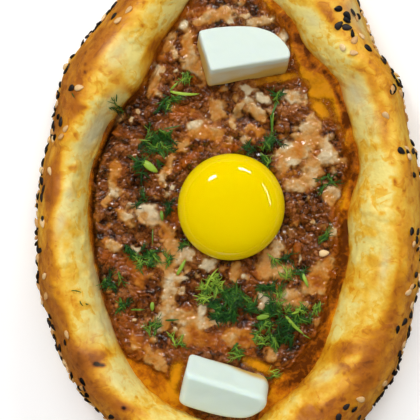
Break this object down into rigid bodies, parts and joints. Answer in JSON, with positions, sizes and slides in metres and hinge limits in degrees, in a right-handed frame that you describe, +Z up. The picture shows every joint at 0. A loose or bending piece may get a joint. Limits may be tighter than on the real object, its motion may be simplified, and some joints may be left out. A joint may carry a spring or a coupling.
{
  "type": "khachapuri with minced meat, cheese, egg yolk and butter",
  "caption": "Open boat-shaped bread with a rolled golden rim and pinched ends, filled with minced meat and melted cheese under an egg yolk and butter.",
  "frame": {"origin": "middle of the flat underside, below the middle of the boat's bounding box", "axes": "+Z up, +Y along the boat from the lower pinched end to the upper one, +X across the boat"},
  "size_m": [0.1457, 0.2417, 0.0324],
  "materials": {
    "baked_crust": "golden baked dough brushed with butter, softly glossy, pale yellow on the ridge and brown in spots",
    "meat_and_cheese": "oily browned minced meat with pale patches of melted cheese",
    "egg_yolk": "raw egg yolk, deep yellow, wet and very glossy",
    "butter": "cold pale butter, waxy, with softly melted edges",
    "melted_butter": "melted butter and meat juices, amber and wet",
    "dill": "fresh chopped dill, dark green with a few pale stalks",
    "black_sesame": "toasted black sesame seeds, faintly shiny",
    "white_sesame": "pale sesame seeds"
  },
  "bodies": {
    "root": {"crust": "baked_crust", "filling": "meat_and_cheese", "egg_yolk": "egg_yolk", "butter_pat_top": "butter", "butter_pat_bottom": "butter", "butter_pool_right": "melted_butter", "butter_pool_left": "melted_butter"}
  },
  "joints": []
}
